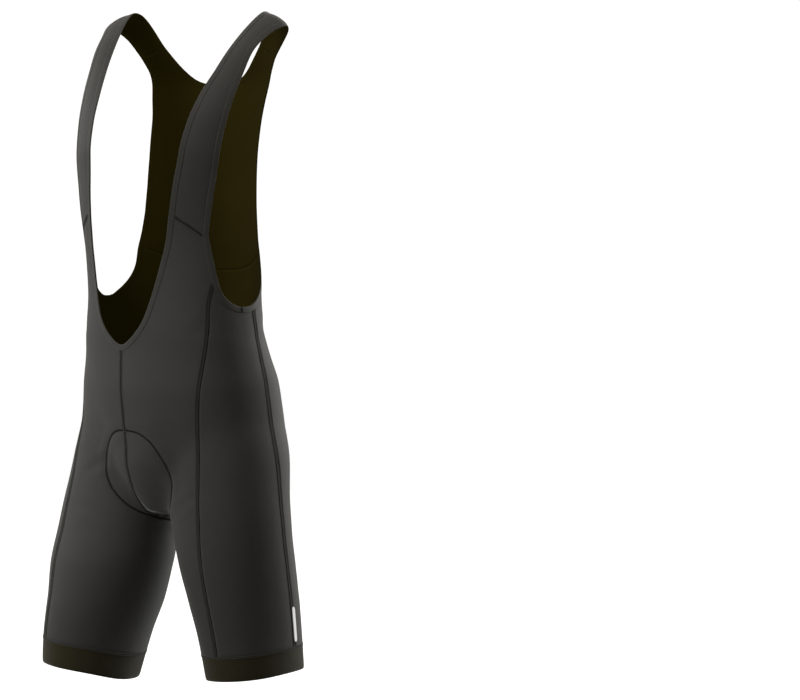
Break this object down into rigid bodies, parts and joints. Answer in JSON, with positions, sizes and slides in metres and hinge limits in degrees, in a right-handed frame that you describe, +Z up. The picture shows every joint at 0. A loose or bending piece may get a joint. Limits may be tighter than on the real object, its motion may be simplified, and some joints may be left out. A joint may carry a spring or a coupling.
{
  "type": "cycling bib shorts",
  "caption": "Worn, hollow cycling bib shorts in a short stride, with wide shoulder straps over a low-cut front, a back bib, shaped leg panels and deep hem bands.",
  "frame": {"origin": "between the tops of the two shoulder straps, where the wearer's shoulders hold the garment", "axes": "+Z up, -Y the way the wearer faces, +X the wearer's left"},
  "size_m": [0.3422, 0.3037, 0.9281],
  "materials": {
    "cloth": "matt knitted stretch cloth",
    "band": "matt ribbed elastic band",
    "binding": "flat folded binding",
    "reflective": "plain light-grey reflective film"
  },
  "bodies": {
    "root": {"back_bib": "cloth", "neck_binding": "binding", "main_panel_left": "cloth", "main_panel_right": "cloth", "side_front_left": "cloth", "side_front_right": "cloth", "side_back_left": "cloth", "side_back_right": "cloth", "strap_left": "cloth", "strap_right": "cloth", "hem_band_left": "band", "hem_band_right": "band", "reflective_tab_left": "reflective", "reflective_tab_right": "reflective", "armhole_binding_left": "binding", "armhole_binding_right": "binding"}
  },
  "joints": []
}
